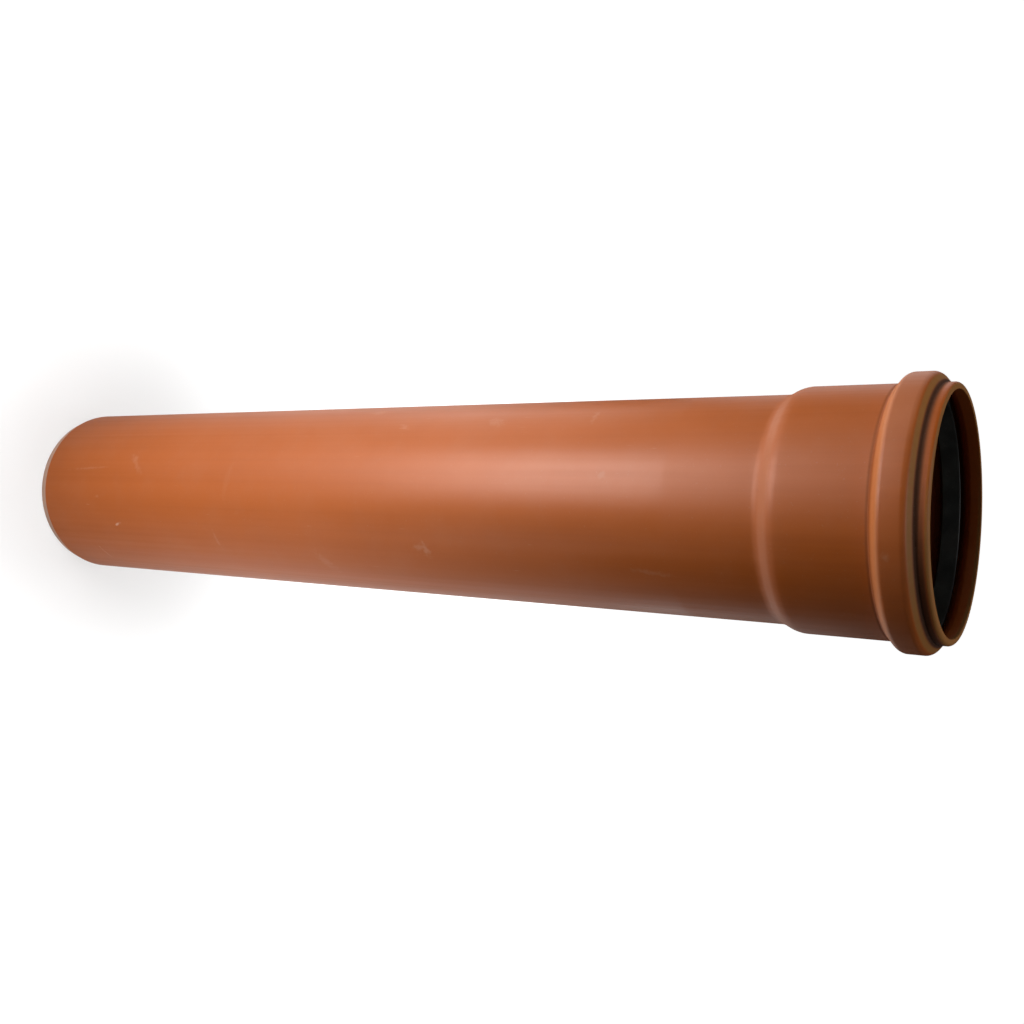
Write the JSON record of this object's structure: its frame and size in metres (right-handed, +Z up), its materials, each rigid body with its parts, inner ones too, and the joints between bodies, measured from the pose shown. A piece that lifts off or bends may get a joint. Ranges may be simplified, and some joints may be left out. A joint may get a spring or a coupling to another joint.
{
  "type": "pvc sewer pipe",
  "caption": "Short length of orange-brown plastic sewer pipe with a chamfered spigot at one end and a belled push-fit socket with a rubber sealing ring at the other.",
  "frame": {"origin": "on the pipe's axis at the spigot's end face, which stands on the floor", "axes": "+Z up along the pipe's axis, from the spigot to the socket's mouth; X and Y lie in the floor, and the pipe is round, so their turn about Z is free"},
  "size_m": [0.127, 0.127, 0.595],
  "materials": {
    "pvc": "orange-brown PVC-U, satin, with fine lines along the pipe, scuffs and a raw turned chamfer",
    "rubber": "black moulded rubber, slightly greased"
  },
  "bodies": {
    "root": {"pipe": "pvc", "sealing_ring": "rubber"}
  },
  "joints": []
}
